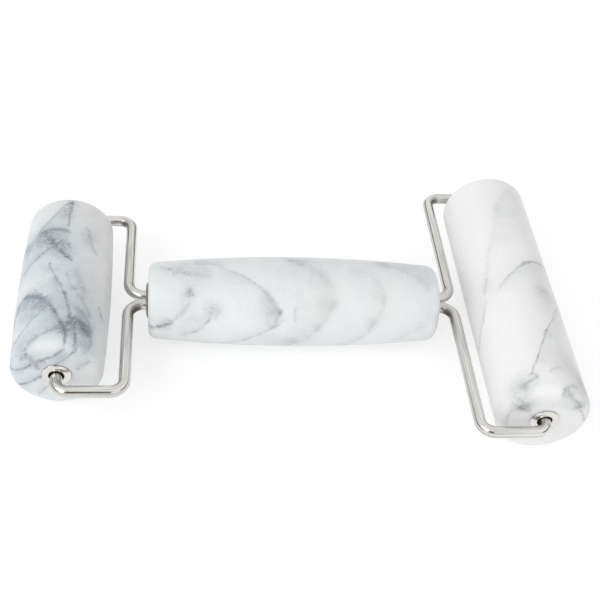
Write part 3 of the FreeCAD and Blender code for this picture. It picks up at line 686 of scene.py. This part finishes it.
gripMarble = {
    "name": "gripMarble",
    "bare": (0.87, 0.90, 0.905), "hazy": (0.67, 0.695, 0.72), "core": (0.20, 0.22, 0.24),
    "broadBend": 1.8, "fineBend": 1.8, "mist": 0.04, "mistSpan": (0.6, 1.25), "tornSpan": (0.4, 1.15),
    "farVeins": range(21), "farPatches": 8,
    "veins": [
        ([(-26, -5), (-14, 23), (-6, 58)], 0.4, 0.28, 4.0, 0.24),     # first arc, above and below its tip
        ([(-12, 30), (-9, 46), (-6, 58)], 0.4, 0.28, 3.5, 0.2),
        ([(-9, 81), (-16, 99), (-28, 130)], 0.4, 0.35, 2.5, 0.16),
        ([(-6, 58), (-7, 69), (-9, 82)], 0.5, 0.48, 3.5, 0.23),
        ([(-36, 46), (-44, 79), (-51, 91)], 0.7, 0.35, 3.0, 0.14),    # lower left
        ([(-43, 78), (-45, 83), (-48, 88)], 0.6, 0.75, 1.5, 0.12),
        ([(-51, 88), (-49, 90), (-47, 88)], 0.5, 0.6, 1.0, 0.1),
        ([(-37, 29), (-37, 33), (-36, 38)], 0.5, 0.6, 1.5, 0.12),
        ([(-31, 71), (-34, 89), (-40, 105)], 0.4, 0.4, 5.0, 0.18),
        ([(-46, -10), (-45, -7), (-43, -4)], 0.6, 0.5, 2.0, 0.12),
        ([(-42, 4), (-40, 3), (-37, 5)], 0.5, 0.3, 2.0, 0.1),
        ([(-35, -20), (-33, -16), (-31, -16)], 0.6, 0.4, 2.0, 0.1),
        ([(-30, 11), (-37, 5), (-45, -5)], 0.6, 0.1, 6.0, 0.2),
        ([(-1, 50), (-1, 60), (-1, 70)], 0.7, 0.25, 1.0, 0.05),
        ([(12, 50), (8, 78), (1, 112)], 1.0, 0.1, 6.0, 0.17),       # second arc
        ([(6, -3), (11, 24), (12, 48)], 1.6, 0.03, 7.0, 0.13),
        ([(-2, -30), (5, -6), (10, 18)], 1.8, 0.08, 5.0, 0.15),
        ([(30, 42), (29, 60), (25, 82)], 1.1, 0.1, 4.0, 0.11),       # third arc
        ([(18, -10), (26, 10), (30, 40)], 1.6, 0.05, 6.0, 0.12),
        ([(46, 23), (39, -5), (28, -26)], 1.2, 0.12, 7.0, 0.16),      # fourth arc
        ([(46, 79), (40, 96), (35, 116)], 0.8, 0.1, 5.0, 0.08),
        ([(-28, 130), (-36, 152), (-47, 176)], 0.4, 0.4, 3.0, 0.18),   # running on round the stone
        ([(-1, 114), (-12, 146), (-27, 178)], 0.6, 0.3, 5.0, 0.2),
        ([(25, 86), (17, 122), (3, 160)], 0.7, 0.2, 4.0, 0.14),
        ([(-26, -5), (-37, -38), (-49, -76)], 0.4, 0.35, 4.0, 0.2),
        ([(3, -1), (-9, -46), (-22, -90)], 0.7, 0.2, 6.0, 0.18),
    ],
    "patches": [((-29, 58), 2.8, 0.6), ((-37, 33), 2.2, 0.35), ((-1, 107), 2.5, 0.45), ((27, 75), 2.2, 0.25),
                ((7, 78), 1.6, 0.3), ((-45, 84), 2.5, 0.35), ((31, -24), 3.0, 0.35), ((48, 64), 2.0, 0.2)],
    "hazes": [((-38, 2), (12, 9, 7), 0.17), ((-4, 100), (14, 6, 6), 0.12), ((38, -15), (10, 8, 5), 0.1),
              ((-36, 75), (6, 7, 7), 0.14), ((-10, 60), (4, 6, 6), 0.08), ((-2, 26), (7, 13, 10), 0.1),
              ((5, -25), (30, 8, 5), 0.14), ((44, 8), (6, 9, 7), 0.12), ((-37, 33), (4, 4, 4), 0.12),
              ((46, 60), (5, 8, 8), 0.1)],
    "stains": [((9, 44), (4, 6, 7), (0.965, 0.97, 0.92)), ((30, 50), (3, 6, 6), (0.98, 0.985, 0.95)),
               ((25, 30), (26, 16, 14), (0.985, 0.966, 0.97))],
}


def addPatch(tree, stone, point, spot, size, smoke=1.0, mist=1.0):
    return addGroup(tree, cloudPatch, {"Point": point, "Middle": tuple(stoneSpot(stone, spot)[0]),
                                       "Spread": size, "Smoke": smoke, "Mist": mist})[0]


# the opposite place on a stone: the other end and the other side
def opposite(spot):
    return (-spot[0], spot[1] + 180) + spot[2:]


# chosen veins and patches run on through the stone and show again, fainter, at the opposite place
def farSide(look, share):
    veins = [([opposite(spot) for spot in spots], width, dark * share, haze, smoke * share)
             for spots, width, dark, haze, smoke in (look["veins"][index] for index in look["farVeins"])]
    return veins, [(opposite(spot), size, smoke * share) for spot, size, smoke in look["patches"][:look["farPatches"]]]


stoneFinish = {
    "farShare": 0.8,                         # darkness of the marks at the opposite place
    "speckle": (0.25, 0.75, 0.98, 1.02),     # speckle from and to, and what it multiplies the colour by
    "polish": (0.3, 0.7, 0.38, 0.52),        # polish from and to, and the roughness there
    "bump": 0.10, "bumpHeight": 0.0001,      # metres
}


# honed marble: veins, patches and hazes are added up, the sum thins out towards full dark and picks the colour
def makeMarble(stone, look):
    material, tree, shader = newMaterial(look["name"])
    point = addNode(tree, "ShaderNodeMapping", {
        "Vector": tree.nodes.new("ShaderNodeTexCoord").outputs["Object"],
        "Location": tuple(-stone["middle"] / mm), "Scale": (1 / mm,) * 3}).outputs[0]   # mm from the stone's middle
    (mistLow, mistHigh), (tornLow, tornHigh) = look["mistSpan"], look["tornSpan"]
    flow = addGroup(tree, marbleFlow, {
        "Point": point, "Broad Bend": look["broadBend"], "Fine Bend": look["fineBend"], "Mist Low": mistLow,
        "Mist High": mistHigh, "Torn Low": tornLow, "Torn High": tornHigh, "Cloud High": look["mist"]})
    bent, total = flow["Bent"], flow["Cloud"]
    farVeins, farPatches = farSide(look, stoneFinish["farShare"])
    for spots, width, dark, haze, smoke in look["veins"] + farVeins:
        vein = addGroup(tree, veinSheet, dict(sheetInputs(stone, spots), Point=bent, Width=width, Dark=dark, Haze=haze,
                                              Smoke=smoke, Break=flow["Break"], Mist=flow["Mist"]))
        total = calc(tree, "ADD", total, vein[0])
    marks = [(spot, (size,) * 3, smoke, flow["Torn"]) for spot, size, smoke in look["patches"] + farPatches]
    marks += [(spot, size, smoke, flow["Mist"]) for spot, size, smoke in look["hazes"]]
    for spot, size, smoke, tear in marks:
        total = calc(tree, "ADD", total, addPatch(tree, stone, bent, spot, size, smoke, tear))
    grain = addGroup(tree, stoneGrain, {"Point": point})
    colour = addGroup(tree, marbleTone, {
        "Point": point, "Marks": total, "Crystal": grain["Crystal"],
        **{key.capitalize(): (*look[key], 1.0) for key in ("bare", "hazy", "core")}})["Colour"]
    for spot, size, tint in look["stains"]:
        colour = mixColours(tree, addPatch(tree, stone, bent, spot, size), colour, tint, "MULTIPLY")
    lift = remap(tree, grain["Speckle"], *stoneFinish["speckle"], "LINEAR")
    setInputs(tree, shader, {
        "Base Color": scaled(tree, colour, lift), "Roughness": remap(tree, grain["Polish"], *stoneFinish["polish"]),
        "Normal": bumped(tree, grain["Height"], stoneFinish["bump"], stoneFinish["bumpHeight"])})
    return material


for node, look in (("long_roller", longMarble), ("short_roller", shortMarble), ("grip", gripMarble)):
    stone, piece = stones[node]
    piece.data.materials.append(makeMarble(stone, look))
print("marble: three stones veined")


metalWork = {
    "lines": (1.0, 5.0, 0.65), "scuffs": (0.8, 4.0, 0.6),   # noises: scale, detail and roughness
    "lineSpan": (0.3, 0.7), "scuffSpan": (0.55, 0.75),      # values of the noise from which to which they show
    "scuffRough": 0.08,                                     # roughness that a scuff adds
    "bumpHeight": 0.00005,                                  # metres
}


# fine lines along a worked metal surface: noise drawn out by an uneven scale; on the wire they also stand in for
# reflection streaks, so there they are partly painted reflection
def drawnLinesAndSheenGroup(work):
    tree, given, out = newGroup("drawnLinesAndSheen", [("Vector", "Place, Stretch")], [("Float", "Lines, Scuffs")])
    drawn = calcVector(tree, "MULTIPLY", given["Place"], given["Stretch"])
    setInputs(tree, out, {
        "Lines": noise(tree, drawn, *work["lines"]),
        "Scuffs": remap(tree, noise(tree, given["Place"], *work["scuffs"]), *work["scuffSpan"])})
    return tree


drawnLinesAndSheen = drawnLinesAndSheenGroup(metalWork)
wireFinish = {
    "name": "steelWire", "place": "wirePlace", "stretch": (0.03, 1.9, 1.9),
    # dull and bright: tones of the drawn lines, which on the wire are partly painted reflection streaks
    "dull": (0.45, 0.436, 0.416), "bright": (0.83, 0.815, 0.79), "rough": (0.12, 0.22), "bump": 0.2,
    "hollowShade": (0.16, 0.145, 0.13), "hollowShadeShare": 0.9, "hollowRough": 0.08,   # painted shade in a bend's hollow and its strength, and the roughness that polishing left there
}
sleeveFinish = {
    "name": "platedSleeve", "place": "sleevePlace", "stretch": (9.0, 0.5, 0.5),
    "dull": (0.68, 0.66, 0.63), "bright": (0.84, 0.82, 0.79), "rough": (0.12, 0.22), "bump": 0.06,
    "edge": (0.10, 0.085, 0.075), "inside": (0.86, 0.70, 0.48),   # painted shade on the edge and under it; brass in the bore, made bright to lift the hole's shade, so partly painted light
    "edgeAndBoreSpan": (0.2, 0.8), "edgeAndBoreRough": 0.35,
}


# worked metal: the lines vary its colour and polish, and scuffs dull it in spots; on the wire the lines' light and
# dark colour is partly painted reflection streaks
def makeMetal(look):
    material, tree, shader = newMaterial(look["name"])
    place = addNode(tree, "ShaderNodeAttribute", attribute_name=look["place"]).outputs["Vector"]
    worked = addGroup(tree, drawnLinesAndSheen, {"Place": place, "Stretch": look["stretch"]})
    colour = mixColours(tree, remap(tree, worked["Lines"], *metalWork["lineSpan"]), look["dull"], look["bright"])
    rough = remap(tree, worked["Lines"], *metalWork["lineSpan"], *look["rough"])
    rough = calc(tree, "MULTIPLY_ADD", worked["Scuffs"], metalWork["scuffRough"], rough)
    if look is wireFinish:                # a bend's hollow stays dull, and its colour is darkened there as painted shade
        bend = addNode(tree, "ShaderNodeAttribute", attribute_name="wireBend").outputs["Fac"]
        rough = calc(tree, "MULTIPLY_ADD", bend, look["hollowRough"], rough)
        colour = mixColours(tree, product(tree, bend, look["hollowShadeShare"]), colour, look["hollowShade"])
    else:
        # the flange's edge and underside, and half of a ferrule's dome, are darkened as painted shade; the bore's
        # bright brass is partly painted light
        edgeAndBore = addNode(tree, "ShaderNodeAttribute", attribute_name="sleeveEdgeAndBore").outputs["Fac"]
        for key, end in (("edge", -1.0), ("inside", 1.0)):
            mask = remap(tree, edgeAndBore, *(end * value for value in look["edgeAndBoreSpan"]))
            colour = mixColours(tree, mask, colour, look[key])
            rough = calc(tree, "MULTIPLY_ADD", mask, look["edgeAndBoreRough"], rough)
    setInputs(tree, shader, {"Metallic": 1.0, "Base Color": colour, "Roughness": rough,
                             "Normal": bumped(tree, worked["Lines"], look["bump"], metalWork["bumpHeight"])})
    return material


steelWire, platedSleeve = makeMetal(wireFinish), makeMetal(sleeveFinish)
for piece in arms:
    piece.data.materials.append(steelWire)
for piece in sleeves:
    piece.data.materials.append(platedSleeve)

epoxyLook = {
    "thin": (0.50, 0.47, 0.40), "thick": (0.62, 0.59, 0.52),
    "cloud": (300.0, 4.0, 0.5),              # scale per metre, detail and roughness of the noise
    "polish": (0.3, 0.7, 0.35, 0.55),        # cloud from and to, and the roughness there
    "bubbles": 900.0, "bump": 0.2, "bumpHeight": 0.0002,   # bubbles per metre, and their height in metres
}


# cured adhesive: cloudy, with small bubbles in its skin
def makeEpoxy(look):
    material, tree, shader = newMaterial("curedEpoxy")
    place = tree.nodes.new("ShaderNodeTexCoord").outputs["Object"]
    cloud = noise(tree, place, *look["cloud"])
    bubbles = addNode(tree, "ShaderNodeTexVoronoi", {"Vector": place, "Scale": look["bubbles"]}).outputs["Distance"]
    setInputs(tree, shader, {
        "Base Color": mixColours(tree, cloud, look["thin"], look["thick"]),
        "Roughness": remap(tree, cloud, *look["polish"]),
        "Normal": bumped(tree, bubbles, look["bump"], look["bumpHeight"])})
    return material


epoxy = makeEpoxy(epoxyLook)
for end in ("long", "short"):
    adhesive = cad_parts[end + "_end_adhesive"].data
    adhesive.materials.clear()
    adhesive.materials.append(epoxy)
print("metal and adhesive: finished")


studio = {
    "skyLow": 1.0, "skyTop": 0.6,   # what the white surround gives to matt surfaces, level and overhead
    "keyLight": 0.85,        # lamp from the front left
    "keyTurn": -52.0, "keyHeight": 35.0, "keySpread": 50.0,   # degrees
    "floorTone": 0.94,       # paper as the object is lit by it
    "floorShade": 0.5, "floorLift": 0.6,   # paper as it is seen: matt share, and white added to it
    "floorRough": 0.95, "floorShine": 0.1,
    "floorSide": 6.0,        # metres
    "cardAway": 1.0, "cardSteps": 24, "cardRough": 0.9,
    "cards": [(-27.0, 3.0, 16.0, 48.0, (0.10, 0.085, 0.075)),   # from and to in turn, then in height, tone
              (50.0, 165.0, 1.0, 20.0, (0.17, 0.158, 0.145)), (-165.0, -50.0, 1.0, 18.0, (0.14, 0.128, 0.117))],
}


# one for rays that show the surround itself: seen directly, mirrored, or through something clear
def seenDirectly(tree):
    path = tree.nodes.new("ShaderNodeLightPath").outputs
    near = calc(tree, "MAXIMUM", path["Is Camera Ray"], path["Is Glossy Ray"])
    return calc(tree, "MAXIMUM", near, path["Is Transmission Ray"])


# the way to a place in the surround, in degrees: turned from the front to the right, and raised
def surroundWay(turn, height):
    turn, height = np.radians(turn), np.radians(height)
    return np.stack([np.sin(turn) * np.cos(height), -np.cos(turn) * np.cos(height), np.sin(height)], -1)


# white all round, less bright overhead on matt surfaces
def makeSurround():
    world = bpy.data.worlds.new("studio")
    world.use_nodes = True
    tree = world.node_tree
    place = tree.nodes.new("ShaderNodeTexCoord").outputs["Generated"]
    upward = addNode(tree, "ShaderNodeSeparateXYZ", {0: place}).outputs["Z"]
    glow = remap(tree, upward, 0.0, 1.0, studio["skyLow"], studio["skyTop"], "LINEAR")
    setInputs(tree, tree.nodes["Background"], {
        "Color": (1, 1, 1, 1), "Strength": calc(tree, "MAXIMUM", glow, seenDirectly(tree))})
    bpy.context.scene.world = world


# a sheet of white paper under the object, which takes its shadow
def makeFloor():
    side = studio["floorSide"] / 2
    mesh = plainMesh("floor", [(-side, -side, 0), (side, -side, 0), (side, side, 0), (-side, side, 0)], [(0, 1, 2, 3)])
    paper, tree, shader = newMaterial("whitePaper")
    setInputs(tree, shader, {
        "Base Color": remap(tree, seenDirectly(tree), 0.0, 1.0, studio["floorTone"], studio["floorShade"], "LINEAR"),
        "Roughness": studio["floorRough"], "Specular IOR Level": studio["floorShine"], "Emission Color": (1, 1, 1, 1),
        "Emission Strength": product(tree, seenDirectly(tree), studio["floorLift"])})
    mesh.materials.append(paper)
    floor = addObject("floor", mesh)


# a strip of a sphere that only the metal mirrors: turn by height
def makeCard(name, turns, heights, tone):
    steps = studio["cardSteps"]
    turn, height = np.meshgrid(np.linspace(*turns, steps), np.linspace(*heights, steps), indexing="ij")
    strip = surroundWay(turn, height) * studio["cardAway"]
    corner = np.arange(turn.size).reshape(turn.shape)
    quads = np.stack([corner[:-1, :-1], corner[:-1, 1:], corner[1:, 1:], corner[1:, :-1]], -1)
    mesh = plainMesh(name, strip.reshape(-1, 3).tolist(), quads.reshape(-1, 4).tolist())
    dark, tree, shader = newMaterial(name)
    setInputs(tree, shader, {"Base Color": (*tone, 1), "Roughness": studio["cardRough"]})
    mesh.materials.append(dark)
    card = addObject(name, mesh)
    card.visible_camera = card.visible_diffuse = card.visible_shadow = card.visible_transmission = False


def makeLamp():
    lamp = bpy.data.lights.new("key", "SUN")
    lamp.energy = studio["keyLight"]
    lamp.angle = math.radians(studio["keySpread"])
    toward = Vector(surroundWay(studio["keyTurn"], studio["keyHeight"]))
    addObject("key", lamp).rotation_euler = toward.to_track_quat("Z", "Y").to_euler()


makeSurround()
makeFloor()
for index, (*span, tone) in enumerate(studio["cards"]):
    makeCard("card%d" % index, span[:2], span[2:], tone)
makeLamp()
bpy.context.scene.view_settings.view_transform = "Standard"

photoCamera = {
    "imageSide": 600.0, "focal": 1074.3,              # pixels
    "place": (-42.59, -267.0, 288.18),                # mm
    "pitch": 0.7866, "yaw": 0.1673, "roll": -0.1296,  # radians
    "sensor": 36.0,                                   # mm
    "nearest": 0.01,                                  # metres
}


# looks down by the pitch, to the right of +Y by the yaw, and leans by the roll
def makeCamera(view):
    lens = bpy.data.cameras.new("photoCamera")
    lens.sensor_width = view["sensor"]
    lens.lens = view["focal"] / view["imageSide"] * view["sensor"]
    lens.clip_start = view["nearest"]
    camera = addObject("photoCamera", lens)
    pitch, yaw, roll = view["pitch"], view["yaw"], view["roll"]
    ahead = Vector((math.sin(yaw) * math.cos(pitch), math.cos(yaw) * math.cos(pitch), -math.sin(pitch)))
    level = Vector((math.cos(yaw), -math.sin(yaw), 0.0))
    down = ahead.cross(level)
    right = math.cos(roll) * level + math.sin(roll) * down
    low = math.cos(roll) * down - math.sin(roll) * level
    turned = Matrix((right, -low, -ahead)).transposed().to_4x4()
    camera.matrix_world = Matrix.Translation(Vector(view["place"]) * mm) @ turned
    bpy.context.scene.camera = camera


makeCamera(photoCamera)
print("studio and camera: ready")
